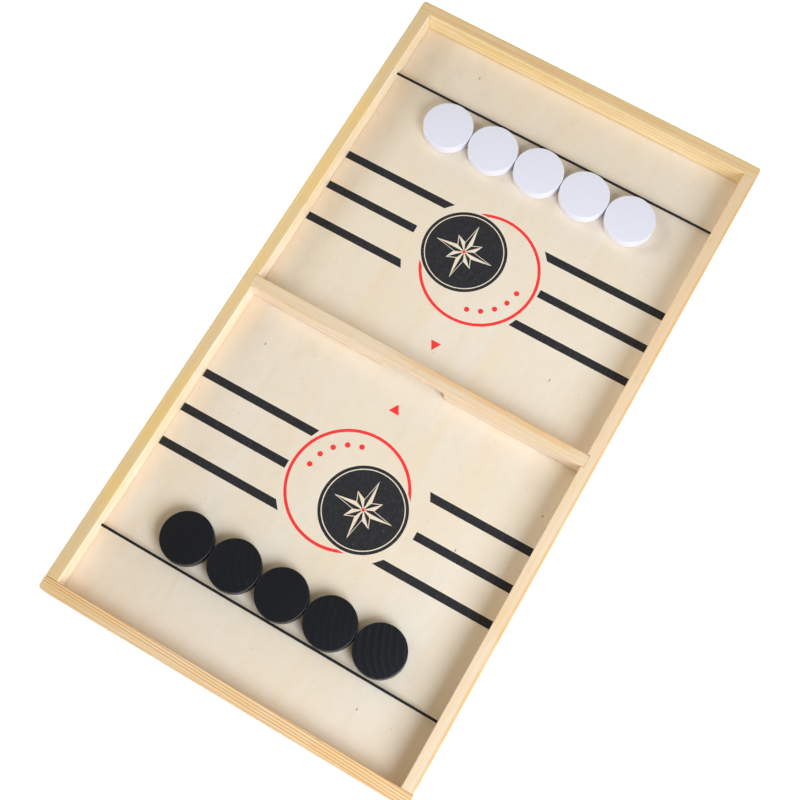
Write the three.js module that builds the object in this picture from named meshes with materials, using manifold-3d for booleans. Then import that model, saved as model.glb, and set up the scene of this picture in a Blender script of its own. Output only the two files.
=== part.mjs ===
// Sling puck board game: a shallow wooden tray in two halves, five pucks and one elastic sling
// for each player, and a low gate through the divider bar that the pucks are shot through.
// Millimetres. X runs across the board, Y along it from the near player to the far player, Z up.
// The origin is the middle of the underside.
import * as THREE from 'three';
import { mergeVertices } from 'three/addons/utils/BufferGeometryUtils.js';
import Module from 'manifold-3d';

// Board
const board_length = 550;
const board_width = 300;
const rail_thickness = 10;
const underside_recess = 3;
const plywood_thickness = 3;
const groove_depth = 4;
const corner_radius = 3;
const arris_radius = 0.8;

// Divider and gate
const divider_thickness = 10;
const housing_depth = 2.3;
const gate_side_room = 13.2;
const gate_headroom = 3.8;
const bridge_height = 6;
const gate_corner_radius = 3;

// Pucks, five to a side
const puck_diameter = 39.8;
const puck_height = 9;
const puck_ease = 0.6;
const puck_row_gap = 0.5;
const puck_to_cord = 0.4;
const puck_lift = 0.2;
// The third and fourth pucks of each row lie nearest the sling, the others a step further in
const row_step = 0.9;
const row_step_shares = [1, 1, 0, 0, 1];

// Elastic slings
const cord_diameter = 2;
const cord_height = 5;
const cord_setback = 51.5;
const cord_sides = 8;

// Stopper knot, as shares of the cord's diameter and of a full turn
const wrap_radius_share = 1.3;
const wrap_drop_share = 1.5;
const bend_rise_share = 1.1;
const tail_turn_share = 0.16;

// Steps along each half of a sling: the straight run, the bend into the knot and the wrap.
// Stretches of it lie apart, and not next to each other, from so many diameters along.
const straight_steps = 24;
const bend_steps = 8;
const wrap_steps = 24;
const samples_per_step = 4;
const apart_share = 2;

// Brads
const brad_diameter = 1.2;
const brad_head_diameter = 2.2;
const brad_head_thickness = 0.8;
const brad_length = 25;
const brad_point_length = 1.5;
const corner_brad_height_shares = [0.4, 0.78];
const divider_brad_height_share = 0.72;

// Fits
const fit_gap = 0.3;
const brad_gap = 0.3;
const overrun = 1;
const arc_steps = 4;
const ease_steps = 2;
const puck_steps = 48;
const bore_steps = 20;
const brad_steps = 10;

// Worked out from the sizes above
const floor_top = underside_recess + plywood_thickness;
const gate_height = puck_lift + puck_height + gate_headroom;
const gate_width = puck_diameter + gate_side_room;
const rail_height = floor_top + gate_height + bridge_height;
const inner_width = board_width - 2 * rail_thickness;
const inner_length = board_length - 2 * rail_thickness;
const groove_low = underside_recess - fit_gap;
const groove_high = floor_top + fit_gap;
const cord_z = floor_top + cord_height;
const cord_y = inner_length / 2 - cord_setback;
const cord_bore = cord_diameter + 2 * fit_gap;
const side_rail_length = inner_length - 2 * fit_gap;
const divider_length = inner_width + 2 * housing_depth;

// The knot's own sizes, measured outwards from the floor of its counterbore
const wrap_radius = wrap_radius_share * cord_diameter;
const bend_rise = bend_rise_share * cord_diameter;
const knot_low = fit_gap + cord_diameter / 2;
const knot_high = knot_low + wrap_drop_share * cord_diameter;
const counterbore_depth = knot_high + cord_diameter / 2 + fit_gap;
const counterbore_diameter = 2 * (wrap_radius + cord_diameter / 2 + fit_gap);

const unit_x = new THREE.Vector3(1, 0, 0);
const unit_y = new THREE.Vector3(0, 1, 0);
const unit_z = new THREE.Vector3(0, 0, 1);

const wasm = await Module();
wasm.setup();

// Colours and finishes
const finishes = {
  pine: { color: 0xe6c693, roughness: 0.62 },
  plywood: { color: 0xe9d9c1, roughness: 0.7 },
  black_paint: { color: 0x1b1d20, roughness: 0.5 },
  white_paint: { color: 0xe4e6f0, roughness: 0.45 },
  elastic: { color: 0x16171a, roughness: 0.85 },
  steel: { color: 0x9c9da0, roughness: 0.4, metalness: 0.9 },
};

const game = new THREE.Group();

function add(name, geometry, finish, position = [0, 0, 0], turn = 0) {
  const mesh = new THREE.Mesh(geometry, new THREE.MeshStandardMaterial(finishes[finish]));
  mesh.name = name;
  mesh.position.set(...position);
  mesh.rotation.z = turn;
  game.add(mesh);
}

// A closed three.js geometry as a solid that can be cut, and back again
function solidOf(geometry) {
  const bare = geometry.clone();
  bare.deleteAttribute('normal');
  bare.deleteAttribute('uv');
  const merged = mergeVertices(bare);
  const triangles = new Uint32Array(merged.index.array);
  const vertices = new Float32Array(merged.attributes.position.array);
  return new wasm.Manifold(
    new wasm.Mesh({ numProp: 3, vertProperties: vertices, triVerts: triangles }));
}

function geometryOf(solid) {
  const mesh = solid.getMesh();
  const geometry = new THREE.BufferGeometry();
  geometry.setAttribute('position', new THREE.BufferAttribute(new Float32Array(mesh.vertProperties), 3));
  geometry.setIndex(new THREE.BufferAttribute(new Uint32Array(mesh.triVerts), 1));
  return geometry;
}

function cut(geometry, cutters) {
  let solid = solidOf(geometry);
  for (const cutter of cutters) solid = solid.subtract(solidOf(cutter));
  return geometryOf(solid);
}

function common(first, second) {
  return geometryOf(solidOf(first).intersect(solidOf(second)));
}

// An outline through corners [x, y, radius], in which a corner with a radius is an arc
function outline(corners) {
  const points = [];
  corners.forEach(([x, y, radius = 0], i) => {
    const corner = new THREE.Vector2(x, y);
    if (radius === 0) {
      points.push(corner);
      return;
    }
    const [bx, by] = corners[(i + corners.length - 1) % corners.length];
    const [ax, ay] = corners[(i + 1) % corners.length];
    const back = new THREE.Vector2(bx, by).sub(corner).normalize();
    const ahead = new THREE.Vector2(ax, ay).sub(corner).normalize();
    // The corners are square, so the arc's centre is one radius along each side
    const centre = corner.clone().addScaledVector(back, radius).addScaledVector(ahead, radius);
    for (let k = 0; k <= arc_steps; k += 1) {
      const turn = (k / arc_steps) * (Math.PI / 2);
      points.push(centre.clone()
        .addScaledVector(ahead, -radius * Math.cos(turn))
        .addScaledVector(back, -radius * Math.sin(turn)));
    }
  });
  return new THREE.Shape(points);
}

function rectangle(low_x, low_y, high_x, high_y) {
  return outline([[low_x, low_y], [high_x, low_y], [high_x, high_y], [low_x, high_y]]);
}

function prism(shape, depth) {
  const geometry = new THREE.ExtrudeGeometry(shape, { depth, bevelEnabled: false, steps: 1 });
  return geometry.translate(0, 0, -depth / 2);
}

// A section drawn in Y and Z, run along X, and one drawn in X and Z, run along Y
function alongX(section, length) {
  return prism(section, length).applyMatrix4(new THREE.Matrix4().makeBasis(unit_y, unit_z, unit_x));
}

function alongY(section, length) {
  const turn = new THREE.Matrix4().makeBasis(unit_x, unit_z, unit_y.clone().negate());
  return prism(section, length).applyMatrix4(turn);
}

// A box between two corners
function block(low, high) {
  const size = high.map((value, i) => value - low[i]);
  const box = new THREE.BoxGeometry(...size);
  return box.translate(...low.map((value, i) => value + size[i] / 2));
}

// A round hole's cutter with its middle at a point, along X or along Y
function bore(axis, diameter, length, centre) {
  const cylinder = new THREE.CylinderGeometry(diameter / 2, diameter / 2, length, bore_steps);
  if (axis === unit_x) cylinder.rotateZ(Math.PI / 2);
  return cylinder.translate(...centre);
}

// A cutter for a hole that starts at an outer face, at face_at along the axis, and runs inwards
function blindBore(axis, diameter, depth, face_at, across) {
  const inward = -Math.sign(face_at);
  const length = depth + overrun;
  const middle = face_at + (inward * (depth - overrun)) / 2;
  const centre = axis === unit_x ? [middle, across[0], across[1]] : [across[0], middle, across[1]];
  return bore(axis, diameter, length, centre);
}

// Where the brads lie
const corner_brad_heights = corner_brad_height_shares.map((share) => share * rail_height);
const side_rail_x = inner_width / 2 + rail_thickness / 2;
const divider_brad_z = divider_brad_height_share * rail_height;
const brad_bore = brad_diameter + 2 * brad_gap;
const brad_head_bore = brad_head_diameter + 2 * brad_gap;

// The hole for one brad: the shank's depth and a wider seat for the head
function bradHole(axis, face_at, across) {
  return [
    blindBore(axis, brad_bore, brad_length + brad_gap, face_at, across),
    blindBore(axis, brad_head_bore, brad_head_thickness + brad_gap, face_at, across),
  ];
}

const corner_brads = [];
for (const end of [-1, 1]) {
  for (const side of [-1, 1]) {
    corner_brad_heights.forEach((height, level) => {
      corner_brads.push({ end, side, level, at: [side * side_rail_x, height] });
    });
  }
}

// Side rail: one section with eased upper edges and the plywood's groove, run along the board.
// It is cut for the divider's end, the two slings with their knots, and the brads.
function sideRail(side) {
  const inner = side * inner_width / 2;
  const outer = inner + side * rail_thickness;
  const groove = inner + side * groove_depth;
  const section = outline([
    [outer, 0],
    [inner, 0],
    [inner, groove_low],
    [groove, groove_low],
    [groove, groove_high],
    [inner, groove_high],
    [inner, rail_height, arris_radius],
    [outer, rail_height, arris_radius],
  ]);
  const housing_x = [inner - side * overrun, inner + side * (housing_depth + fit_gap)];
  const housing_half = divider_thickness / 2 + fit_gap;
  const cutters = [
    block(
      [Math.min(...housing_x), -housing_half, floor_top],
      [Math.max(...housing_x), housing_half, rail_height + overrun]),
    ...bradHole(unit_x, outer, [0, divider_brad_z]),
  ];
  for (const end of [-1, 1]) {
    const across = [end * cord_y, cord_z];
    cutters.push(bore(unit_x, cord_bore, rail_thickness + 2 * overrun, [side * side_rail_x, ...across]));
    cutters.push(blindBore(unit_x, counterbore_diameter, counterbore_depth, outer, across));
  }
  for (const brad of corner_brads) {
    if (brad.side === side) {
      cutters.push(...bradHole(unit_y, (brad.end * board_length) / 2, brad.at));
    }
  }
  return cut(alongY(section, side_rail_length), cutters);
}

// End rail: it runs the full width, its outer corners are rounded, and its groove stops short of them
function endRail(end) {
  const inner = end * inner_length / 2;
  const outer = inner + end * rail_thickness;
  const section = outline([
    [outer, 0],
    [inner, 0],
    [inner, rail_height, arris_radius],
    [outer, rail_height, arris_radius],
  ]);
  const half = board_width / 2;
  const plan = outline([
    [-half, inner - end * overrun],
    [-half, outer, corner_radius],
    [half, outer, corner_radius],
    [half, inner - end * overrun],
  ]);
  const upright = prism(plan, rail_height + 2 * overrun).translate(0, 0, rail_height / 2);
  const groove_y = [inner - end * overrun, inner + end * groove_depth];
  const groove_half = inner_width / 2 + groove_depth;
  const cutters = [
    block(
      [-groove_half, Math.min(...groove_y), groove_low],
      [groove_half, Math.max(...groove_y), groove_high]),
  ];
  for (const brad of corner_brads) {
    if (brad.end === end) {
      cutters.push(...bradHole(unit_y, outer, brad.at));
    }
  }
  return cut(common(alongX(section, board_width + 2 * overrun), upright), cutters);
}

// Plywood playing board, held in the groove on all four sides
function playingBoard() {
  const half_x = inner_width / 2 + groove_depth - fit_gap;
  const half_y = inner_length / 2 + groove_depth - fit_gap;
  return prism(rectangle(-half_x, -half_y, half_x, half_y), plywood_thickness);
}

// Divider: let into both side rails, flush with their tops, with the gate cut up from its lower edge
function divider() {
  const low = floor_top + fit_gap;
  const half = divider_length / 2;
  const gate = gate_width / 2;
  const gate_top = floor_top + gate_height;
  const profile = outline([
    [-half, low],
    [-gate, low],
    [-gate, gate_top, gate_corner_radius],
    [gate, gate_top, gate_corner_radius],
    [gate, low],
    [half, low],
    [half, rail_height],
    [-half, rail_height],
  ]);
  const thick = divider_thickness / 2;
  const section = outline([
    [-thick, low],
    [thick, low],
    [thick, rail_height, arris_radius],
    [-thick, rail_height, arris_radius],
  ]);
  const bar = common(
    alongY(profile, divider_thickness + 2 * overrun), alongX(section, divider_length + 2 * overrun));
  const cutters = [-1, 1].flatMap((side) => (
    bradHole(unit_x, (side * board_width) / 2, [0, divider_brad_z])));
  return cut(bar, cutters);
}

// Puck: a turned disc with eased edges
function puck() {
  const radius = puck_diameter / 2;
  const profile = [new THREE.Vector2(0, 0)];
  for (const [height, turn_from] of [[puck_ease, -Math.PI / 2], [puck_height - puck_ease, 0]]) {
    for (let k = 0; k <= ease_steps; k += 1) {
      const turn = turn_from + (k / ease_steps) * (Math.PI / 2);
      profile.push(new THREE.Vector2(
        radius - puck_ease + puck_ease * Math.cos(turn), height + puck_ease * Math.sin(turn)));
    }
  }
  profile.push(new THREE.Vector2(0, puck_height));
  return new THREE.LatheGeometry(profile, puck_steps).rotateX(Math.PI / 2);
}

// Brad: head, shank and point turned about its own axis, with the head's top at the origin
function brad() {
  const shank = brad_diameter / 2;
  const profile = [
    new THREE.Vector2(0, -brad_length),
    new THREE.Vector2(shank, brad_point_length - brad_length),
    new THREE.Vector2(shank, -brad_head_thickness),
    new THREE.Vector2(brad_head_diameter / 2, -brad_head_thickness),
    new THREE.Vector2(brad_head_diameter / 2, 0),
    new THREE.Vector2(0, 0),
  ];
  return new THREE.LatheGeometry(profile, brad_steps);
}

// The sling's route, as one curve from one tail to the other, with the right half like the left
// half turned about. Outwards from the middle each half runs straight through the side rail,
// turns over and winds once round itself, and its tail ends under the turn: the stopper knot.
class SlingRoute extends THREE.Curve {
  constructor() {
    super();
    this.knot_floor = board_width / 2 - counterbore_depth;
    this.straight = this.knot_floor + knot_high - bend_rise;
    this.half_steps = straight_steps + bend_steps + wrap_steps;
  }

  // In the plan of the knot the bend is half a small circle, from the middle to the wrap
  bend(s) {
    const turn = (s * Math.PI) / 2;
    const angle = (Math.PI / 2) * (1 - Math.cos(turn));
    return [this.straight + bend_rise * Math.sin(turn), wrap_radius * Math.sin(angle), angle];
  }

  // The wrap drops below the bend in its one full turn, and the tail goes on a little way
  wrap(s) {
    const turns = s * (1 + tail_turn_share);
    const drop = (knot_high - knot_low) * THREE.MathUtils.smoothstep(turns, 0, 1);
    return [this.knot_floor + knot_high - drop, wrap_radius, Math.PI / 2 + turns * 2 * Math.PI];
  }

  getPoint(t, target = new THREE.Vector3()) {
    const side = t < 0.5 ? -1 : 1;
    const step = Math.abs(2 * t - 1) * this.half_steps;
    let [out, radius, angle] = [(this.straight * step) / straight_steps, 0, 0];
    if (step > straight_steps + bend_steps) {
      [out, radius, angle] = this.wrap((step - straight_steps - bend_steps) / wrap_steps);
    } else if (step > straight_steps) {
      [out, radius, angle] = this.bend((step - straight_steps) / bend_steps);
    }
    return target.set(side * out, side * radius * Math.sin(angle), radius * Math.cos(angle));
  }

  // The rings go where the steps put them, close together in the knots and far apart between
  getPointAt(u, target) {
    return this.getPoint(u, target);
  }

  getTangentAt(u, target) {
    return this.getTangent(u, target);
  }
}

function sling() {
  const route = new SlingRoute();
  const section = Array.from({ length: cord_sides }, (_, k) => {
    const turn = ((k + 1 / 2) / cord_sides) * 2 * Math.PI;
    return new THREE.Vector2(Math.cos(turn), Math.sin(turn)).multiplyScalar(cord_diameter / 2);
  });
  return new THREE.ExtrudeGeometry(new THREE.Shape(section), {
    extrudePath: route, steps: 2 * route.half_steps, bevelEnabled: false });
}

// The least gap between stretches of a sling that lie apart along it, measured on points
function leastKnotGap() {
  const route = new SlingRoute();
  const points = route.getSpacedPoints(2 * route.half_steps * samples_per_step);
  const along = [0];
  points.forEach((point, i) => {
    if (i > 0) along.push(along[i - 1] + point.distanceTo(points[i - 1]));
  });
  let least = Infinity;
  points.forEach((point, i) => {
    points.forEach((other, j) => {
      if (along[j] - along[i] > apart_share * cord_diameter) {
        least = Math.min(least, point.distanceTo(other));
      }
    });
  });
  return least - cord_diameter;
}

add('base_board', playingBoard(), 'plywood', [0, 0, underside_recess + plywood_thickness / 2]);
add('left_side_rail', sideRail(-1), 'pine');
add('right_side_rail', sideRail(1), 'pine');
add('near_end_rail', endRail(-1), 'pine');
add('far_end_rail', endRail(1), 'pine');
add('divider_bar', divider(), 'pine');
add('near_elastic', sling(), 'elastic', [0, -cord_y, cord_z]);
add('far_elastic', sling(), 'elastic', [0, cord_y, cord_z]);
console.log(`least gap of a sling's knot to itself: ${leastKnotGap().toFixed(2)} mm`);

// A row of pucks against each sling, with the middle one in line with the gate
const puck_pitch = puck_diameter + puck_row_gap;
const row_y = cord_y - cord_diameter / 2 - puck_to_cord - puck_diameter / 2;
for (const [row, end, paint] of [['black_puck', -1, 'black_paint'], ['white_puck', 1, 'white_paint']]) {
  row_step_shares.forEach((share, i) => {
    const x = (i - (row_step_shares.length - 1) / 2) * puck_pitch;
    const y = end * (row_y - share * row_step);
    add(`${row}_${i + 1}`, puck(), paint, [x, y, floor_top + puck_lift]);
  });
}

// Brads: two at each corner, through the end rail, and one into each end of the divider
const end_names = { '-1': 'near', 1: 'far' };
const side_names = { '-1': 'left', 1: 'right' };
for (const { end, side, level, at } of corner_brads) {
  const name = `${end_names[end]}_${side_names[side]}_brad_${level + 1}`;
  const turn = end > 0 ? 0 : Math.PI;
  add(name, brad(), 'steel', [at[0], (end * board_length) / 2, at[1]], turn);
}
for (const side of [-1, 1]) {
  const position = [(side * board_width) / 2, 0, divider_brad_z];
  add(`divider_${side_names[side]}_brad`, brad(), 'steel', position, (-side * Math.PI) / 2);
}

export default game;
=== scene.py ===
# Sling puck board game: the finish of every surface, the printed field, the painted pucks, the glue in
# the joints and the two elastic slings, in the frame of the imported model. Metres, with X across the
# board, Y from the near player to the far player and Z up. The origin is the middle of the underside.
import math
from collections import namedtuple

import bmesh
import bpy
from mathutils import Matrix, Vector, geometry


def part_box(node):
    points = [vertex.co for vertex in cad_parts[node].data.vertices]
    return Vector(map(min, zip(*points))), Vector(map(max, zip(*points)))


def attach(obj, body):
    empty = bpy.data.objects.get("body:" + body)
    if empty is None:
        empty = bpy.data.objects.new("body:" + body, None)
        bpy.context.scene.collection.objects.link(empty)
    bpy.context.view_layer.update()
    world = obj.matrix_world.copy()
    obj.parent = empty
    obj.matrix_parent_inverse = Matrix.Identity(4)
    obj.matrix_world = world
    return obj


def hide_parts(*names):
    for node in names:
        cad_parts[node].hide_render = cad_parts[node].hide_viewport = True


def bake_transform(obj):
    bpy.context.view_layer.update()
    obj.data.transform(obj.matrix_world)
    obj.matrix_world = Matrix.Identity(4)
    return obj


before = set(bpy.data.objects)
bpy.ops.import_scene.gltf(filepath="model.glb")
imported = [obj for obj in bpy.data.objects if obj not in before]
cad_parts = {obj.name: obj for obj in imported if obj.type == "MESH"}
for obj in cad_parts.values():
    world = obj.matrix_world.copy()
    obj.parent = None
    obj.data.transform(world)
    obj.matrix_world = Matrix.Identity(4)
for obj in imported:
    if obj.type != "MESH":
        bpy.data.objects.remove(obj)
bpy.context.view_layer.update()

# Camera, as the photograph was taken: above the board's near right corner
camera_place = Vector((0.1640, -0.3017, 1.0276))
camera_look = Vector((-0.1541, 0.2609, -0.9530))
camera_up = Vector((-0.477, 0.825, 0.303))
camera_lens = 64.5
camera_sensor = 36

# Light: two soft lamps and a white surround. Each lamp has its place, the place that it is aimed at,
# its width, its power in watts, how wide it shines, in degrees, and its tint.
Lamp = namedtuple("Lamp", "place aim width power spread tint")
lamps = {
    "key_lamp": Lamp(
        place=Vector((0.83, -0.475, 0.75)), aim=Vector((-0.15, -0.17, 0)), width=0.70, power=5.85,
        spread=110, tint=(0.80, 0.895, 1.01)),
    "fill_lamp": Lamp(
        place=Vector((-0.75, 0.12, 0.55)), aim=Vector((0.13, 0.15, 0)), width=0.40, power=0.235,
        spread=40, tint=(0.86, 0.93, 1)),
}
# The surround lights the board more from low down than from overhead, and a little warm. Mirrors see it
# white, with a darker ceiling. Each changes from its first level to its second between two heights,
# counted from 0 at the horizon to 1 overhead.
surround_heights, surround_levels = (0.15, 0.75), (1.08, 0.25)
ceiling_heights, ceiling_levels = (0.35, 0.85), (1, 0.15)
surround_tint = (1.0, 0.87, 0.64, 1)
white = (1, 1, 1, 1)
floor_size = 8
floor_drop = 0.0002
floor_glow = 0.90

# The boards' joints: the room in them, and how far the rails' edges are eased
board_half_width = 0.150
rail_thickness = 0.010
fit_gap = 0.0003
arris = 0.0008

# Growth rings: how far they wander, in metres, how uneven they are, in rings, how dark a ring is at
# places within it, from the pale early wood to the late wood and back, and how far it stands up
ring_wander = 0.004
ring_unevenness = 0.4
ring_stops = [(0, 0.0), (0.30, 0.08), (0.46, 0.7), (0.64, 1.0), (0.82, 0.7), (0.94, 0.0)]
ring_relief = 0.4
# Where the rings have faded out: how dark the wood is, and how wide that change is
plain_darkness = 0.18
plain_edge = 0.002
# Single lines of late wood: how far they wander, how steeply they rise from their edges, where 1 would
# reach full strength only in the middle, how they break up, and the length over which their ends fade
line_wander = 0.0012
line_steepness = 1.6
line_break_stops = [(0.30, 0.45), (0.55, 1.0)]
line_end_fade = 0.02
# The painted warm bounce light on the playing board beside the left rail: where it ends, over how much it
# fades, and how far clouds move that. How far the veneer's streaks stand up
bounce_glow_end = -0.121
bounce_glow_fade = 0.02
bounce_glow_waver = 3
streak_relief = 0.5
# Spots of all kinds: the part of the radius that is their soft edge
spot_edge_share = 0.4

# Glue in the joints: its thickness as a share of the room, how far it keeps from the inner faces and
# below the tops, and how its top wavers, as a share of the latter
glue_thickness_share = 0.9
glue_inset = 0.0005
glue_sink = 0.0002
glue_waver_share = 0.25
glue_waves = 5
glue_steps = 20

# Slings, with their knots
cord_diameter = 0.002
cord_z = 0.011
cord_y = 0.2135
wrap_radius_share = 1.3
wrap_drop_share = 1.5
bend_rise_share = 1.1
tail_turn_share = 0.16
cord_sides = 20
cord_sharp_angle = 60
straight_rings = 150
bend_rings = 24
wrap_rings = 80
# Their braid: the length of one turn of a strand, as a share of the cord's diameter, and the strands
braid_pitch_share = 0.7
braid_strands = 4

# Pucks: how far their edges are eased, and their facets
puck_ease = 0.0006
puck_sides = 128
puck_sharp_angle = 30
ease_steps = 6
# The grain under their paint: how far it wanders, how strongly it bows, how many lines it has for each
# metre, how far its angle turns from one puck to the next where none is given, and how far it shows
grain_bend = 0.010
grain_bow = 9
grain_lines_per_metre = 200
grain_angle_step = 47
grain_figure = 0.1

# Print on the playing board: how far it lies above the wood, how thick it is, and how it was laid
# on a little askew, in metres and degrees
ink_lift = 0.000004
ink_thickness = 0.00002
print_shift = Vector((-0.0004, -0.00075))
print_turn = 0.35
stripe_width = 0.0066
stripe_outer_gap = 0.0004
# One row for each stripe: its distance from the divider's middle, then where it ends on the left
# and on the right, each at its edge next to the divider and at its other edge
stripes = [
    (0.0749, (-0.0411, -0.0440), (0.0534, 0.0570)),
    (0.1057, (-0.0489, -0.0489), (0.0597, 0.0597)),
    (0.1356, (-0.0420, -0.0366), (0.0488, 0.0428)),
]
triangle_base_y = 0.0324
triangle_apex_y = 0.0248
triangle_half_width = 0.0043
ring_y = 0.1007
ring_radius = 0.0470
ring_width = 0.0024
# The roundel: a dark disc with a compass star, set a little off the ring's middle
roundel_offset = Vector((0.0175, -0.0070))
roundel_radius = 0.0335
roundel_clearance = 0.0014
keyline_inset = 0.0024
keyline_width = 0.0008
star_corners = 16
star_long = 0.0245
star_short = 0.0150
star_valley = 0.0082
star_edge_share = 0.90
star_hub_share = 0.16
dot_radius = 0.0021
dot_ring_radius = 0.0345
dot_angles = [102, 120, 138, 156, 174]
circle_steps = 128


def screen(red, green, blue):
    """A colour given as it looks on screen, 0 to 255, as the linear values that a node takes."""
    def one(value):
        value = value / 255
        return value / 12.92 if value <= 0.04045 else ((value + 0.055) / 1.055) ** 2.4
    return (one(red), one(green), one(blue), 1)


class Graph:
    """A tree of nodes, with one short call for each kind that the script needs."""

    def __init__(self, tree):
        self.nodes, self.links = tree.nodes, tree.links

    def put(self, socket, value):
        if isinstance(value, bpy.types.NodeSocket):
            self.links.new(value, socket)
        else:
            socket.default_value = value

    def new(self, kind, **values):
        """A new node, with its inputs set: from_min sets the one called From Min, and so on."""
        node = self.nodes.new(f"ShaderNode{kind}")
        for name, value in values.items():
            self.put(node.inputs[name.replace("_", " ").title()], value)
        return node

    def math(self, operation, *values):
        node = self.new("Math")
        node.operation = operation
        for socket, value in zip(node.inputs, values):
            self.put(socket, value)
        return node.outputs[0]

    def times(self, value, factor):
        return self.math("MULTIPLY", value, factor)

    def plus(self, first, second):
        return self.math("ADD", first, second)

    def clamp(self, value):
        return self.math("MINIMUM", self.math("MAXIMUM", value, 0), 1)

    def between(self, value, levels, heights=(0, 1)):
        """The first level where value is at the first height, the second at the second, and those
        between in between."""
        node = self.new("MapRange", value=value, from_min=heights[0], from_max=heights[1],
                        to_min=levels[0], to_max=levels[1])
        return node.outputs[0]

    def split(self, vector):
        return tuple(self.new("SeparateXYZ", vector=vector).outputs)

    def place(self):
        """X, Y and Z on the piece, at rest."""
        return self.split(self.new("TexCoord").outputs["Object"])

    def facing(self):
        """The surface's direction on the piece, as X, Y and Z."""
        return self.split(self.new("TexCoord").outputs["Normal"])

    def attribute(self, name):
        node = self.new("Attribute")
        node.attribute_name = name
        return node.outputs["Vector"]

    def scaled(self, *axes):
        """A vector of up to three axes, each a place and its scale, or a plain number."""
        node = self.new("CombineXYZ")
        for socket, axis in zip(node.inputs, axes):
            self.put(socket, self.times(*axis) if isinstance(axis, tuple) else axis)
        return node.outputs[0]

    def noise(self, *axes, detail=2, roughness=0.5, distortion=0):
        """Soft noise, from 0 to 1, over axes as scaled takes them."""
        node = self.new("TexNoise", vector=self.scaled(*axes), scale=1, detail=detail,
                        roughness=roughness, distortion=distortion)
        return node.outputs[0]

    def spots(self, *axes, radius, share):
        """Separate round spots on two axes, 1 inside and 0 outside, in a share of cells one unit wide."""
        node = self.new("TexVoronoi", vector=self.scaled(*axes), scale=1)
        node.voronoi_dimensions = "2D"
        inside = self.math("SUBTRACT", radius, node.outputs["Distance"])
        spot = self.math("DIVIDE", inside, radius * spot_edge_share)
        chosen = self.math("LESS_THAN", self.split(node.outputs["Color"])[0], share)
        return self.times(self.clamp(spot), chosen)

    def ramp(self, value, *stops):
        """A level for each place along value, from stops of a place and its level."""
        node = self.new("ValToRGB")
        self.put(node.inputs[0], value)
        elements = node.color_ramp.elements
        while len(elements) < len(stops):
            elements.new(1)
        for element, (at, level) in zip(elements, stops):
            element.position = at
            element.color = (level, level, level, 1)
        return node.outputs[0]

    def rise(self, value, start, end):
        """0 where value is at start and 1 where it is at end, which may be the lower of the two."""
        return self.ramp(value, *sorted([(start, 0.0), (end, 1.0)]))

    def mix(self, share, first, second):
        node = self.new("Mix")
        node.data_type = "RGBA"
        for socket, value in zip((node.inputs[0], node.inputs[6], node.inputs[7]), (share, first, second)):
            self.put(socket, value)
        return node.outputs[2]

    def tinge(self, colour, tint, where, share):
        """The colour, with up to a share of the tint where it is wanted."""
        return self.mix(self.times(where, share), colour, tint)

    def seen_directly(self):
        """1 for light that goes straight to the camera, to a mirror or through glass, and otherwise 0."""
        path = self.new("LightPath").outputs
        seen = self.between(path["Is Camera Ray"], (path["Is Glossy Ray"], 1))
        return self.between(path["Is Transmission Ray"], (seen, 1))


class Finish(Graph):
    """A material's nodes, which end in its shader."""

    def __init__(self, name):
        self.material = bpy.data.materials.new(name)
        self.material.use_nodes = True
        super().__init__(self.material.node_tree)
        self.shader = self.nodes["Principled BSDF"]

    def set(self, **values):
        """Sets the shader's sockets: base_color becomes Base Color, and so on."""
        for name, value in values.items():
            self.put(self.shader.inputs[name.replace("_", " ").title().replace("Ior", "IOR")], value)

    def bump(self, height, distance):
        node = self.new("Bump", height=height, distance=distance)
        self.put(self.shader.inputs["Normal"], node.outputs[0])


# The growth rings in a rail: their pith, across and up from the rail's middle, how far they lean for
# each metre along the rail, their spacing, and how far they are moved, in rings
Rings = namedtuple("Rings", "across up lean spacing moved")
# A line of late wood, or of painted shade along the foot of a face: its place across the top, how far it
# drifts for each metre along the rail, half its width, how far it shows, and where along the rail it
# starts and ends. A place past the top's edge lies on the side.
Line = namedtuple("Line", "place drift half share start end")
# Where the rings fade out: a place across the top, and how far it drifts for each metre
Plain = namedtuple("Plain", "place drift")


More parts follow.
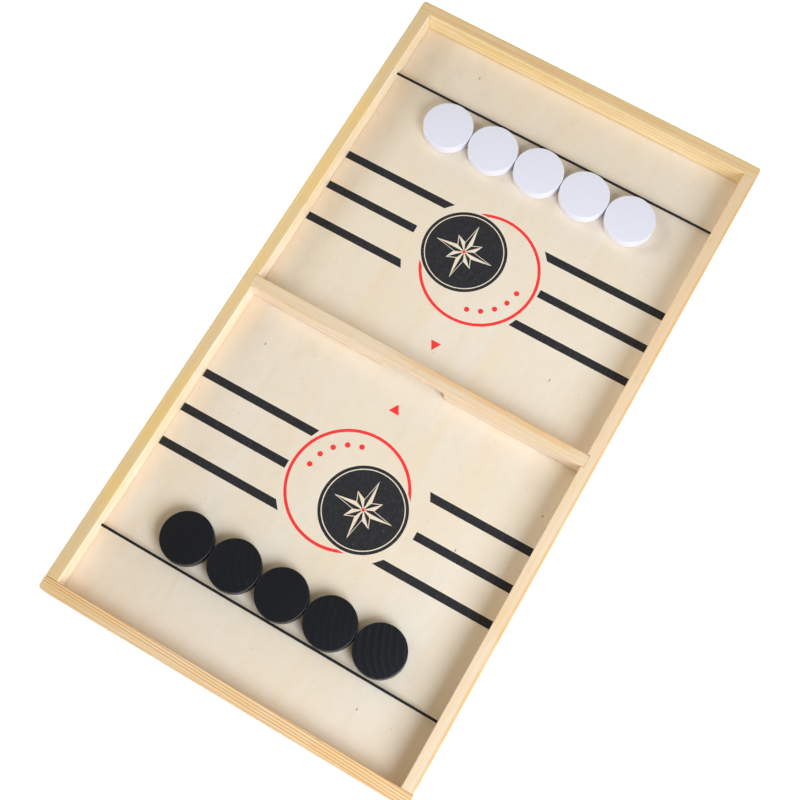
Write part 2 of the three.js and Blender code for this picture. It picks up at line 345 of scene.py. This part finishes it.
def pine(node, rings, top, side, late, contrast, lines, tilt, gather=0.0, plain=None):
    """Sawn pine for a rail: growth rings round a pith that lies off it, and single late-wood lines.

    top and side are the pale wood and its warmer patches on the rail's top and on its planed sides; the
    sides are paler partly as painted light, for the extra light on the vertical faces. late is the dark wood,
    and contrast is how far the rings show. tilt is how far the lines move across for each metre down the
    sides. gather draws the patches to one end. Some lines are painted shade along the foot of a face.
    """
    finish = Finish(f"pine_{node}")
    low, high = (Vector(corner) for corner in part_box(node))
    middle = (low + high) / 2
    x, y, z = finish.place()
    lies_along_x = high.x - low.x > high.y - low.y
    if lies_along_x:
        run, across = x, finish.plus(y, -middle.y)
    else:
        run, across = y, finish.plus(x, -middle.x)
    up = finish.plus(z, -middle.z)

    wander = finish.noise((run, 6), (across, 18), (up, 18))
    aside = finish.plus(finish.plus(across, finish.times(run, -rings.lean)), -rings.across)
    aside = finish.plus(aside, finish.times(finish.plus(wander, -0.5), ring_wander))
    height = finish.plus(up, -rings.up)
    radius = finish.math("SQRT", finish.plus(finish.times(aside, aside), finish.times(height, height)))
    uneven = finish.noise((radius, 260), (run, 2), 0, detail=1)
    count = finish.plus(finish.times(radius, 1 / rings.spacing), finish.times(uneven, ring_unevenness))
    dark = finish.ramp(finish.math("FRACT", finish.plus(count, rings.moved)), *ring_stops)
    if plain:
        place = finish.plus(finish.plus(across, -plain.place), finish.times(run, -plain.drift))
        shown = finish.clamp(finish.plus(finish.times(place, 1 / plain_edge), 0.5))
        faded = finish.times(finish.plus(finish.times(shown, -1), 1), plain_darkness)
        dark = finish.plus(finish.times(dark, shown), faded)
    dark = finish.times(dark, contrast)

    slope = finish.times(finish.plus(z, -high.z), tilt)
    wave = finish.noise((run, 13), 0, 0)
    level = finish.plus(finish.plus(across, slope), finish.times(finish.plus(wave, -0.5), line_wander))
    for number, line in enumerate(lines):
        away = finish.plus(finish.plus(level, -line.place), finish.times(run, -line.drift))
        away = finish.math("ABSOLUTE", away)
        shown = finish.clamp(finish.plus(finish.times(away, -line_steepness / line.half), line_steepness))
        ends = finish.math(
            "MINIMUM", finish.plus(run, -line.start), finish.plus(finish.times(run, -1), line.end))
        shown = finish.times(shown, finish.clamp(finish.times(ends, 1 / line_end_fade)))
        broken = finish.noise((run, 34), number, 0)
        shown = finish.times(shown, finish.ramp(broken, *line_break_stops))
        dark = finish.math("MAXIMUM", dark, finish.times(shown, line.share))

    fibre = finish.noise((run, 40), (across, 1700), (up, 1700), detail=3, roughness=0.6)
    streak = finish.noise((run, 14), (across, 480), (up, 480), roughness=0.55)
    cloud = finish.noise((run, 20), (across, 45), (up, 45))
    pore = finish.spots((run, 40), (finish.plus(across, up), 700), 0, radius=0.13, share=0.03)

    directions = finish.facing()
    upward = finish.rise(directions[2], 0.55, 0.8)
    patches = finish.rise(finish.plus(cloud, finish.times(run, gather)), 0.38, 0.64)
    end_grain = finish.rise(finish.math("ABSOLUTE", directions[0 if lies_along_x else 1]), 0.75, 0.95)
    # The sides take their own, paler colours: partly the planed wood, partly painted light for the extra
    # light on vertical faces
    early = finish.mix(upward, finish.mix(patches, *side), finish.mix(patches, *top))
    fibre_brown, pore_brown, end_brown = screen(204, 158, 98), screen(150, 104, 60), screen(196, 150, 96)
    wood = finish.mix(dark, early, late)
    wood = finish.tinge(wood, late, finish.rise(streak, 0.46, 0.68), share=0.18)
    wood = finish.tinge(wood, fibre_brown, finish.rise(fibre, 0.60, 0.42), share=0.10)
    wood = finish.tinge(wood, pore_brown, pore, share=0.5)
    wood = finish.tinge(wood, end_brown, end_grain, share=0.35)

    finish.set(base_color=wood, specular_ior_level=0.35)
    finish.set(roughness=finish.ramp(fibre, (0.3, 0.66), (0.7, 0.52)))
    finish.bump(finish.plus(fibre, finish.times(dark, ring_relief)), distance=0.00012)
    return finish.material


def plywood():
    """Sanded birch face veneer: soft clouds, faint tan streaks along the board, a few dark flecks, and peach
    painted bounce light beside the left rail, where the rail's warm light falls on the board."""
    finish = Finish("birch_veneer")
    x, y, z = finish.place()
    cloud = finish.noise((x, 13), (y, 5), 0, detail=3, roughness=0.55, distortion=0.6)
    mottle = finish.noise((x, 150), (y, 110), (z, 40), detail=3, roughness=0.6)
    band = finish.noise((x, 42), (y, 4.5), (z, 40), distortion=0.5)
    streak = finish.noise((x, 120), (y, 9), (z, 90), roughness=0.6, distortion=0.5)
    fibre = finish.noise((x, 900), (y, 110), (z, 900), detail=3, roughness=0.6)
    fleck = finish.spots((x, 24), (y, 10), 0, radius=0.015, share=0.35)
    speck = finish.spots((x, 80), (y, 50), 0, radius=0.035, share=0.16)
    smudge = finish.noise((x, 26), (y, 19), 5, roughness=0.6)
    blotch = finish.noise((x, 30), (y, 22), 9)
    # Painted bounce light: a peach tinge beside the left rail, for the warm light that the rail throws on the
    # board
    beside_rail = finish.times(finish.plus(x, -bounce_glow_end), -1 / bounce_glow_fade)
    waver = finish.times(finish.plus(blotch, -0.5), bounce_glow_waver)
    painted_bounce_glow = finish.clamp(finish.plus(beside_rail, waver))

    pale, warm, bounce_peach = screen(240, 229, 214), screen(240, 226, 205), screen(240, 206, 166)
    band_tan, streak_tan, mottle_tan = screen(240, 218, 184), screen(230, 204, 166), screen(222, 206, 184)
    fibre_tan, smudge_grey = screen(206, 186, 158), screen(186, 174, 158)
    fleck_brown, speck_brown = screen(134, 106, 76), screen(140, 118, 92)
    face = finish.mix(finish.rise(cloud, 0.36, 0.64), pale, warm)
    face = finish.tinge(face, band_tan, finish.rise(band, 0.52, 0.74), share=0.40)
    face = finish.tinge(face, streak_tan, finish.rise(streak, 0.60, 0.80), share=0.22)
    face = finish.tinge(face, mottle_tan, finish.rise(mottle, 0.45, 0.70), share=0.14)
    face = finish.tinge(face, fibre_tan, finish.rise(fibre, 0.6, 0.35), share=0.03)
    face = finish.tinge(face, smudge_grey, finish.rise(smudge, 0.62, 0.8), share=0.20)
    # Painted bounce light: the peach tinge beside the left rail
    face = finish.tinge(face, bounce_peach, painted_bounce_glow, share=0.32)
    face = finish.tinge(face, fleck_brown, fleck, share=0.75)
    face = finish.tinge(face, speck_brown, speck, share=0.35)

    finish.set(base_color=face, specular_ior_level=0.3)
    finish.set(roughness=finish.ramp(fibre, (0.3, 0.72), (0.7, 0.6)))
    finish.bump(finish.plus(fibre, finish.times(streak, streak_relief)), distance=0.00005)
    return finish.material


def ink(name, colour, thin):
    """Screen ink on the veneer: it thins a little over the grain and has tiny pale pinholes."""
    finish = Finish(name)
    x, y, _ = finish.place()
    fibre = finish.noise((x, 1300), (y, 45), 0)
    mottle = finish.noise((x, 420), (y, 260), 0, detail=3, roughness=0.6)
    pinhole = finish.spots((x, 210), (y, 190), 0, radius=0.055, share=0.12)
    share = finish.plus(
        finish.times(finish.rise(mottle, 0.45, 0.75), 0.5), finish.times(finish.rise(fibre, 0.5, 0.75), 0.4))
    bare = screen(158, 148, 136)
    print_colour = finish.tinge(finish.mix(share, colour, thin), bare, pinhole, share=0.7)
    finish.set(base_color=print_colour, roughness=0.65, specular_ior_level=0.25)
    finish.bump(fibre, distance=0.00004)
    return finish.material


# A puck's paint: its colour, that of the grain that shows through it and of the dust on it, and how
# rough it is
Paint = namedtuple("Paint", "coat grain dust rough")


def paint(node, number, tone, figure, angle):
    """Satin paint on a turned disc. number picks the noise, figure is how far the wood's growth rings
    show through the paint, and angle the way that they run."""
    finish = Finish(f"{node}_paint")
    middle = middle_of(node)
    x, y, z = finish.place()
    x, y = finish.plus(x, -middle.x), finish.plus(y, -middle.y)
    turn = math.radians(angle)
    run = finish.plus(finish.times(x, math.cos(turn)), finish.times(y, math.sin(turn)))
    across = finish.plus(finish.times(y, math.cos(turn)), finish.times(x, -math.sin(turn)))
    bend = finish.times(finish.noise((run, 26), (across, 20), number, detail=1), grain_bend)
    bow = finish.times(finish.times(run, run), grain_bow)
    lines = finish.times(finish.plus(finish.plus(across, bend), bow), grain_lines_per_metre)
    grain = finish.ramp(finish.math("FRACT", lines), (0, 0.0), (0.45, 0.35), (0.8, 1.0), (1, 0.0))
    fibre = finish.noise((run, 120), (across, 1400), (z, 1400), detail=3, roughness=0.6)
    patch = finish.noise((x, 55), (y, 55), (z, 55))
    dust = finish.spots((x, 420), (y, 420), 0, radius=0.13, share=0.25)
    dusty = finish.times(dust, finish.rise(patch, 0.60, 0.68))

    coat = finish.tinge(tone.coat, tone.grain, grain, share=figure)
    coat = finish.tinge(coat, tone.grain, finish.rise(fibre, 0.5, 0.75), share=0.3)
    coat = finish.tinge(coat, tone.dust, dusty, share=0.6)
    finish.set(base_color=coat, specular_ior_level=0.5)
    finish.set(roughness=finish.ramp(fibre, (0.3, tone.rough + 0.05), (0.7, tone.rough - 0.05)))
    finish.bump(finish.plus(finish.times(fibre, 0.5), finish.times(grain, figure)), distance=0.00004)
    return finish.material


def braid():
    """The elastic's braided sleeve: two sets of strands that wind opposite ways round the cord."""
    finish = Finish("braided_elastic")
    along, about, _ = finish.split(finish.attribute("cord_place"))
    strands = []
    for way in (1, -1):
        turns = finish.plus(along, finish.times(about, way))
        strands.append(finish.math("SINE", finish.times(turns, 2 * math.pi)))
    weave = finish.math("MAXIMUM", *strands)
    grey = finish.rise(finish.plus(finish.times(weave, 0.5), 0.5), 0.2, 1)
    between_strands, on_strands = screen(10, 10, 12), screen(34, 34, 38)
    colour = finish.mix(grey, between_strands, on_strands)
    finish.set(base_color=colour, roughness=0.75, specular_ior_level=0.3)
    finish.bump(grey, distance=0.00012)
    return finish.material


def steel():
    """Drawn steel wire, cut and headed: fine marks and a few dull spots."""
    finish = Finish("brad_steel")
    x, y, z = finish.place()
    mark = finish.noise((x, 2600), (y, 2600), (z, 2600))
    dull = finish.noise((x, 700), (y, 700), (z, 700))
    bright_grey, dull_grey = screen(176, 176, 178), screen(122, 116, 108)
    tone = finish.mix(finish.rise(dull, 0.45, 0.7), bright_grey, dull_grey)
    finish.set(base_color=tone, metallic=1.0, roughness=finish.ramp(mark, (0.3, 0.3), (0.7, 0.5)))
    finish.bump(mark, distance=0.00002)
    return finish.material


def glue():
    """Wood glue, dried in the joints: amber, and darker where it lies thick."""
    finish = Finish("dried_glue")
    x, y, z = finish.place()
    thick = finish.noise((x, 900), (y, 900), (z, 300), detail=3, roughness=0.6)
    amber, brown = screen(226, 190, 138), screen(198, 154, 100)
    tone = finish.mix(finish.rise(thick, 0.35, 0.65), amber, brown)
    finish.set(base_color=tone, roughness=0.5, specular_ior_level=0.35)
    finish.bump(thick, distance=0.00003)
    return finish.material


def dress(node, material):
    """Gives a carried-over node its material."""
    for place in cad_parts[node].material_slots:
        place.material = material


def middle_of(node):
    """The middle of a node's box."""
    low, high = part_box(node)
    return (Vector(low) + Vector(high)) / 2


def piece(name, points, faces, material, body=None):
    """A new mesh piece, which rides on a body where one is given."""
    mesh = bpy.data.meshes.new(name)
    mesh.from_pydata(points, [], faces)
    mesh.materials.append(material)
    mesh.validate()
    mesh.update()
    made = bpy.data.objects.new(name, mesh)
    bpy.context.scene.collection.objects.link(made)
    if body:
        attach(made, body)
    return made


def turn_outwards(made):
    """Turns each face of a closed piece outwards."""
    shell = bmesh.new()
    shell.from_mesh(made.data)
    bmesh.ops.recalc_face_normals(shell, faces=shell.faces)
    shell.to_mesh(made.data)
    shell.free()


def smooth(made, angle):
    """Smooth shading but for the edges that are sharper than angle."""
    for face in made.data.polygons:
        face.use_smooth = True
    made.data.set_sharp_from_angle(angle=math.radians(angle))


def tube_faces(rings, sides):
    """Faces between closed rings of points, with a face at each end."""
    faces = []
    for ring in range(rings - 1):
        for side in range(sides):
            after = (side + 1) % sides
            faces.append((
                ring * sides + side, ring * sides + after,
                (ring + 1) * sides + after, (ring + 1) * sides + side))
    faces.append(tuple(reversed(range(sides))))
    faces.append(tuple(range((rings - 1) * sides, rings * sides)))
    return faces


# Boards: the two end rails, the two side rails, the divider and the playing board
def boards():
    # The sides' cream is partly painted light: paler than the tops for the extra light on vertical faces
    side_cream_partly_painted_light = (screen(248, 237, 219), screen(247, 229, 201))
    woods = {
        "near_end_rail": dict(
            rings=Rings(across=0.050, up=-0.030, lean=-0.018, spacing=0.00155, moved=0.35),
            top=(screen(247, 230, 198), screen(243, 218, 174)), side=side_cream_partly_painted_light,
            late=screen(229, 161, 77), contrast=0.9,
            lines=[Line(-0.0045, 0.0, 0.0006, 0.8, -0.152, 0.152)],
            tilt=0.5, plain=Plain(-0.0030, -0.017)),
        "far_end_rail": dict(
            rings=Rings(across=-0.045, up=-0.060, lean=0.006, spacing=0.0031, moved=0.1),
            top=(screen(234, 208, 162), screen(241, 216, 170)),
            side=(screen(249, 231, 182), screen(251, 238, 199)),
            late=screen(230, 172, 96), contrast=0.30,
            lines=[
                Line(0.0044, 0.0, 0.0009, 0.7, -0.152, -0.03),
                Line(0.0016, 0.006, 0.0005, 0.7, -0.06, 0.09),
                Line(-0.0012, 0.010, 0.0004, 0.6, -0.12, 0.01),
                Line(0.0030, 0.004, 0.0004, 0.5, 0.03, 0.152),
                Line(-0.0066, 0.004, 0.0005, 0.7, -0.15, 0.15),
                Line(-0.0086, 0.0, 0.0006, 0.6, -0.12, 0.15),
                Line(-0.0108, 0.003, 0.0004, 0.6, -0.15, 0.10),
                # Painted contact shade: this last line lies along the foot of the inner face, where it meets
                # the board
                Line(-0.0142, 0.0, 0.0005, 0.9, -0.15, 0.15)],
            tilt=0.5, gather=0.4),
        "left_side_rail": dict(
            rings=Rings(across=-0.060, up=-0.050, lean=0.004, spacing=0.0062, moved=0.4),
            top=(screen(235, 211, 168), screen(246, 214, 150)), side=side_cream_partly_painted_light,
            late=screen(228, 186, 114), contrast=0.18,
            lines=[
                Line(0.0082, 0.002, 0.0004, 0.35, -0.27, 0.27),
                # Painted contact shade: this last line lies along the foot of the inner face, where it meets
                # the board
                Line(0.0142, 0.0, 0.0004, 0.7, -0.27, 0.27)],
            tilt=-0.5, gather=-0.1),
        "right_side_rail": dict(
            rings=Rings(across=-0.070, up=-0.020, lean=0.0, spacing=0.0105, moved=0.3),
            top=(screen(242, 223, 197), screen(240, 216, 183)), side=side_cream_partly_painted_light,
            late=screen(242, 188, 116), contrast=0.16,
            lines=[
                Line(0.0045, 0.001, 0.0018, 0.85, -0.275, 0.275),
                Line(-0.0012, 0.006, 0.0006, 0.3, -0.25, -0.02),
                Line(0.0010, -0.003, 0.0005, 0.25, 0.0, 0.25)],
            tilt=0.4, gather=0.9),
        "divider_bar": dict(
            rings=Rings(across=-0.080, up=-0.020, lean=-0.010, spacing=0.0090, moved=0.35),
            top=(screen(236, 219, 194), screen(240, 217, 184)),
            side=(screen(243, 232, 219), screen(241, 226, 207)),
            late=screen(228, 174, 104), contrast=0.12,
            lines=[
                Line(-0.0040, 0.005, 0.0006, 0.9, -0.130, -0.060),
                Line(0.0026, -0.002, 0.0032, 0.5, -0.03, 0.145),
                Line(0.0042, 0.0, 0.0008, 0.8, 0.0, 0.145),
                Line(0.0008, 0.003, 0.0005, 0.6, 0.03, 0.145),
                Line(-0.0066, 0.001, 0.0005, 0.5, -0.14, 0.14),
                Line(-0.0102, 0.0, 0.0005, 0.5, -0.14, 0.14),
                # Painted contact shade: this last line lies along the foot of the near face, where it meets
                # the board
                Line(-0.0142, 0.0, 0.0004, 0.9, -0.14, 0.14)],
            tilt=0.5, gather=0.5),
    }
    for node, wood in woods.items():
        dress(node, pine(node, **wood))
    dress("base_board", plywood())


def brads():
    metal = steel()
    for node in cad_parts:
        if "brad" in node:
            dress(node, metal)


def glue_film(start, end, low_at, high):
    """Glue along a line on the plan, as points and faces. It goes from the level that low_at gives for
    a place up to just under high, where its top wavers."""
    along = end - start
    aside = Vector((-along.y, along.x)).normalized() * fit_gap * glue_thickness_share / 2
    points, faces = [], []
    for step in range(glue_steps + 1):
        place = start + along * step / glue_steps
        waver = glue_waver_share * math.sin(glue_waves * math.pi * step / glue_steps)
        low, top = low_at(place), high - glue_sink * (1 + waver)
        for side, level in ((-1, low), (-1, top), (1, top), (1, low)):
            points.append((place.x + side * aside.x, place.y + side * aside.y, level))
    for step in range(glue_steps):
        for corner in range(4):
            here, after = 4 * step + corner, 4 * step + (corner + 1) % 4
            faces.append((here, after, after + 4, here + 4))
    faces.append((3, 2, 1, 0))
    faces.append(tuple(4 * glue_steps + corner for corner in range(4)))
    return points, faces


def glue_piece(name, films, material):
    """One piece of glue, of one film or more."""
    points, faces = [], []
    for film_points, film_faces in films:
        faces.extend(tuple(len(points) + corner for corner in face) for face in film_faces)
        points.extend(film_points)
    turn_outwards(piece(name, points, faces, material, "root"))


def joint_glue():
    """Glue at the four corners and round the divider's two ends."""
    material = glue()
    board_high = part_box("base_board")[1]
    for side_name, side in (("left", -1), ("right", 1)):
        rail_low, rail_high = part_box(f"{side_name}_side_rail")

        def corner_low(place):
            """Just above the rail's foot, or over the playing board where its groove runs."""
            over_board = abs(place.x) < board_high[0] + fit_gap
            return board_high[2] + fit_gap if over_board else rail_low[2] + arris

        inner = side * (board_half_width - rail_thickness + glue_inset)
        outer = side * (board_half_width - arris)
        for end, sign in (("near", -1), ("far", 1)):
            place = sign * (rail_high[1] + fit_gap / 2)
            corner = glue_film(Vector((inner, place)), Vector((outer, place)), corner_low, rail_high[2])
            glue_piece(f"{end}_{side_name}_glue", [corner], material)
        bar_low, bar_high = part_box("divider_bar")
        end_place = side * (bar_high[0] + fit_gap / 2)
        before, behind = bar_low[1] - fit_gap / 2, bar_high[1] + fit_gap / 2
        films = []
        for start, end in (((end_place, bar_low[1]), (end_place, bar_high[1])),
                           ((inner, before), (end_place, before)),
                           ((inner, behind), (end_place, behind))):
            films.append(glue_film(Vector(start), Vector(end), lambda place: bar_low[2], bar_high[2]))
        glue_piece(f"divider_{side_name}_glue", films, material)


# Pucks
def puck(node, material):
    """A disc turned between two flat faces, with its edges eased all round, in place of the node."""
    low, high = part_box(node)
    middle = middle_of(node)
    radius = (high[0] - low[0]) / 2
    profile = []
    for height, start in ((low[2] + puck_ease, -math.pi / 2), (high[2] - puck_ease, 0)):
        for step in range(ease_steps + 1):
            angle = start + step / ease_steps * math.pi / 2
            profile.append((
                radius - puck_ease + puck_ease * math.cos(angle), height + puck_ease * math.sin(angle)))
    points = []
    for out, height in profile:
        for side in range(puck_sides):
            turn = 2 * math.pi * side / puck_sides
            points.append((middle.x + out * math.cos(turn), middle.y + out * math.sin(turn), height))
    made = piece(f"{node}_turned", points, tube_faces(len(profile), puck_sides), material, node)
    smooth(made, puck_sharp_angle)
    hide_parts(node)
    return made


def pucks():
    tones = {
        "black": Paint(coat=screen(13, 14, 19), grain=screen(29, 31, 38), dust=screen(150, 150, 152),
                       rough=0.38),
        "white": Paint(coat=screen(234, 236, 253), grain=screen(227, 229, 246), dust=screen(208, 208, 212),
                       rough=0.5),
    }
    first_numbers = {"black": 0, "white": 5}
    figures = {"black_puck_2": 0.3, "black_puck_4": 0.4, "black_puck_5": 0.8}
    angles = {"black_puck_2": 120, "black_puck_4": 110, "black_puck_5": 118}
    for name in sorted(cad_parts):
        tone = name.split("_")[0]
        if name.startswith(f"{tone}_puck"):
            number = int(name[-1]) + first_numbers[tone]
            figure = figures.get(name, grain_figure)
            angle = angles.get(name, grain_angle_step * number)
            made = puck(name, paint(name, number, tones[tone], figure, angle))


# Slings
def sling_route():
    """Half of a sling's route, from the middle outwards, through the rail and into its stopper knot,
    as places outwards, along the board and up, counted from the sling's own line."""
    wrap_radius = wrap_radius_share * cord_diameter
    knot_low = fit_gap + cord_diameter / 2
    knot_high = knot_low + wrap_drop_share * cord_diameter
    rise = bend_rise_share * cord_diameter
    knot_floor = board_half_width - (knot_high + cord_diameter / 2 + fit_gap)
    straight = knot_floor + knot_high - rise
    route = [Vector((straight * step / straight_rings, 0, 0)) for step in range(straight_rings)]
    for step in range(bend_rings):
        turn = step / bend_rings * math.pi / 2
        angle = math.pi / 2 * (1 - math.cos(turn))
        radius = wrap_radius * math.sin(angle)
        route.append(Vector((
            straight + rise * math.sin(turn), radius * math.sin(angle), radius * math.cos(angle))))
    for step in range(wrap_rings + 1):
        turns = step / wrap_rings * (1 + tail_turn_share)
        down = min(turns, 1)
        drop = (knot_high - knot_low) * down * down * (3 - 2 * down)
        angle = math.pi / 2 + turns * 2 * math.pi
        route.append(Vector((
            knot_floor + knot_high - drop, wrap_radius * math.sin(angle), wrap_radius * math.cos(angle))))
    return route


def tube(name, route, material):
    """A round cord along a route, closed at both ends, with its place along and round the cord kept
    for the braid."""
    points, places = [], []
    lean = Vector((0, 1, 0))
    along = 0
    for index, point in enumerate(route):
        before, after = route[max(index - 1, 0)], route[min(index + 1, len(route) - 1)]
        forward = (after - before).normalized()
        lean = (lean - forward * lean.dot(forward)).normalized()
        across = forward.cross(lean)
        if index > 0:
            along += (point - route[index - 1]).length
        for side in range(cord_sides):
            turn = 2 * math.pi * side / cord_sides
            points.append(point + (lean * math.cos(turn) + across * math.sin(turn)) * cord_diameter / 2)
            places.append((along / (cord_diameter * braid_pitch_share), braid_strands * side / cord_sides, 0))
    made = piece(name, points, tube_faces(len(route), cord_sides), material)
    kept = made.data.attributes.new("cord_place", "FLOAT_VECTOR", "POINT")
    kept.data.foreach_set("vector", [value for place in places for value in place])
    smooth(made, cord_sharp_angle)
    return made


def slings():
    """Each sling in two halves, from its middle to the counterbores, and a stopper knot on each end."""
    material = braid()
    half = sling_route()
    for end, sign in (("near", -1), ("far", 1)):
        node = f"{end}_elastic"
        for side_name, side in (("left", -1), ("right", 1)):
            route = [
                Vector((side * out, sign * cord_y + side * aside, cord_z + up)) for out, aside, up in half]
            run, knot_run = route[:straight_rings + 1], route[straight_rings:]
            made = tube(f"{node}_{side_name}_half", run, material)
            knot = tube(f"{node}_{side_name}_knot", knot_run, material)
            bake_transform(made)
            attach(knot, "root")
            for part in (made, knot):
                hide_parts(node)


# Print
def around(middle, radius, turn):
    """The place at a radius and an angle round a middle."""
    return middle + radius * Vector((math.cos(turn), math.sin(turn)))


def circle(middle, radius, clockwise=False):
    way = -1 if clockwise else 1
    return [around(middle, radius, 2 * math.pi * step / circle_steps * way) for step in range(circle_steps)]


def film(name, shapes, half, material):
    """Thin printed shapes on the playing board, each a list of outlines: the first goes round it and
    the others are its holes. half is 1 for the near half, and -1 turns them round for the far one."""
    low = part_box("base_board")[1][2] + ink_lift
    wall = board_half_width - rail_thickness - stripe_outer_gap
    turn = math.radians(print_turn)

    def laid(x, y):
        """A place on the print, as it lies on the board, kept off the side rails."""
        x, y = half * x, half * y
        across = x * math.cos(turn) - y * math.sin(turn) + print_shift.x
        along = x * math.sin(turn) + y * math.cos(turn) + print_shift.y
        return Vector((max(-wall, min(wall, across)), along, 0))

    points, faces = [], []
    for outlines in shapes:
        flat = [[laid(x, y) for x, y in outline] for outline in outlines]
        start = len(points)
        corners = [point for outline in flat for point in outline]
        count = len(corners)
        for level in (low, low + ink_thickness):
            points.extend((point.x, point.y, level) for point in corners)
        for triangle in geometry.tessellate_polygon(flat):
            a, b, c = (corners[i] for i in triangle)
            up = (b - a).cross(c - a).z > 0
            top = triangle if up else tuple(reversed(triangle))
            faces.append(tuple(start + count + i for i in top))
            faces.append(tuple(start + i for i in reversed(top)))
        first = start
        for outline in flat:
            size = len(outline)
            for i in range(size):
                after = (i + 1) % size
                faces.append((first + i, first + after, first + count + after, first + count + i))
            first += size
    made = piece(name, points, faces, material, "root")
    turn_outwards(made)
    return made


def stripe_shapes():
    wall = board_half_width
    shapes = []
    for distance, left, right in stripes:
        high, low = -distance + stripe_width / 2, -distance - stripe_width / 2
        shapes.append([[(-wall, low), (left[1], low), (left[0], high), (-wall, high)]])
        shapes.append([[(right[1], low), (wall, low), (wall, high), (right[0], high)]])
    return shapes


def star_outline(middle):
    """The compass star: four long points and four short ones, with valleys between them."""
    points = []
    for corner in range(star_corners):
        radius = star_valley if corner % 2 else (star_long if corner % 4 == 0 else star_short)
        points.append(around(middle, radius, 2 * math.pi * corner / star_corners))
    return points


def roundel_shapes(middle):
    """The dark disc with its keyline, the bare star in it and the dark half of each of its points."""
    star = star_outline(middle)
    keyline_outer = roundel_radius - keyline_inset
    shapes = [
        [circle(middle, roundel_radius), circle(middle, keyline_outer, True)],
        [circle(middle, keyline_outer - keyline_width), list(reversed(star))],
    ]
    for tip in range(0, star_corners, 2):
        point, valley = star[tip] - middle, star[(tip + 1) % star_corners] - middle
        shapes.append([[
            middle + point * star_hub_share, middle + point * star_edge_share,
            middle + valley * star_edge_share, middle + valley * star_hub_share]])
    return shapes


def ring_shape(middle, hidden_middle):
    """The ring, open where the roundel covers it, with its ends cut to follow the roundel."""
    offset = hidden_middle - middle
    hidden_radius = roundel_radius + roundel_clearance
    facing = math.atan2(offset.y, offset.x)
    edges = []
    for radius in (ring_radius, ring_radius - ring_width):
        reach = (radius ** 2 + offset.length ** 2 - hidden_radius ** 2) / (2 * radius * offset.length)
        start = facing + math.acos(reach)
        sweep = 2 * (math.pi - math.acos(reach))
        edges.append([
            around(middle, radius, start + sweep * step / circle_steps) for step in range(circle_steps + 1)])
    return [edges[0] + list(reversed(edges[1]))]


def prints():
    dark = ink("black_ink", screen(38, 38, 42), screen(60, 59, 60))
    red = ink("red_ink", screen(250, 52, 56), screen(249, 84, 82))
    ring_middle = Vector((0, -ring_y))
    roundel_middle = ring_middle + roundel_offset
    triangle = [(-triangle_half_width, -triangle_base_y), (triangle_half_width, -triangle_base_y),
                (0, -triangle_apex_y)]
    dots = [
        [circle(around(ring_middle, dot_ring_radius, math.radians(angle)), dot_radius)]
        for angle in dot_angles]
    hub = [circle(roundel_middle, star_hub_share * star_valley)]
    for end, half in (("near", 1), ("far", -1)):
        black = film(f"{end}_black_print", stripe_shapes() + roundel_shapes(roundel_middle), half, dark)
        film(f"{end}_red_print", [[triangle], ring_shape(ring_middle, roundel_middle), hub] + dots, half, red)


# Surroundings
def camera():
    data = bpy.data.cameras.new("camera")
    data.lens = camera_lens
    data.sensor_width = camera_sensor
    made = bpy.data.objects.new("camera", data)
    back = -camera_look.normalized()
    right = camera_up.cross(back).normalized()
    up = back.cross(right)
    made.matrix_world = Matrix.Translation(camera_place) @ Matrix((right, up, back)).transposed().to_4x4()
    bpy.context.scene.collection.objects.link(made)
    bpy.context.scene.camera = made


def light():
    """The soft lamps, each turned to what it is aimed at."""
    for name, lamp in lamps.items():
        data = bpy.data.lights.new(name, "AREA")
        data.energy = lamp.power
        data.size = lamp.width
        data.spread = math.radians(lamp.spread)
        data.color = lamp.tint
        made = bpy.data.objects.new(name, data)
        made.location = lamp.place
        made.rotation_mode = "QUATERNION"
        made.rotation_quaternion = (lamp.place - lamp.aim).to_track_quat("Z", "Y")
        bpy.context.scene.collection.objects.link(made)


def surround():
    """The light all round. It is seen as white, and mirrors and glass see it so too, but that mirrors
    see a darker ceiling above."""
    world = bpy.data.worlds.new("surround")
    world.use_nodes = True
    bpy.context.scene.world = world
    graph = Graph(world.node_tree)
    height = graph.split(graph.new("TexCoord").outputs["Generated"])[2]
    lit = graph.nodes["Background"]
    graph.put(lit.inputs["Color"], surround_tint)
    graph.put(lit.inputs["Strength"], graph.between(height, surround_levels, surround_heights))
    ceiling = graph.between(height, ceiling_levels, ceiling_heights)
    seen = graph.between(graph.new("LightPath").outputs["Is Glossy Ray"], (1, ceiling))
    shown = graph.new("Background", color=white, strength=seen)
    chosen = graph.new("MixShader")
    for socket, value in zip(chosen.inputs, (graph.seen_directly(), lit.outputs[0], shown.outputs[0])):
        graph.put(socket, value)
    graph.put(graph.nodes["World Output"].inputs["Surface"], chosen.outputs[0])


def floor():
    """A pale floor that keeps a soft shadow, white where it is seen, and clear from below."""
    half = floor_size / 2
    corners = [(-half, -half, -floor_drop), (half, -half, -floor_drop),
               (half, half, -floor_drop), (-half, half, -floor_drop)]
    finish = Finish("pale_floor")
    seen = finish.seen_directly()
    pale_grey, seen_grey = screen(228, 228, 228), screen(160, 160, 160)
    finish.set(base_color=finish.mix(seen, pale_grey, seen_grey))
    finish.set(roughness=1.0, specular_ior_level=0.0, emission_color=white)
    finish.set(emission_strength=finish.times(seen, floor_glow))
    from_below = finish.new("NewGeometry").outputs["Backfacing"]
    sides = finish.new("MixShader")
    clear = finish.new("BsdfTransparent")
    for socket, value in zip(sides.inputs, (from_below, finish.shader.outputs[0], clear.outputs[0])):
        finish.put(socket, value)
    finish.put(finish.nodes["Material Output"].inputs["Surface"], sides.outputs[0])
    piece("floor", corners, [(0, 1, 2, 3)], finish.material)


camera()
slings()
boards()
joint_glue()
brads()
pucks()
prints()
light()
surround()
floor()

bpy.context.scene.view_settings.view_transform = "Standard"
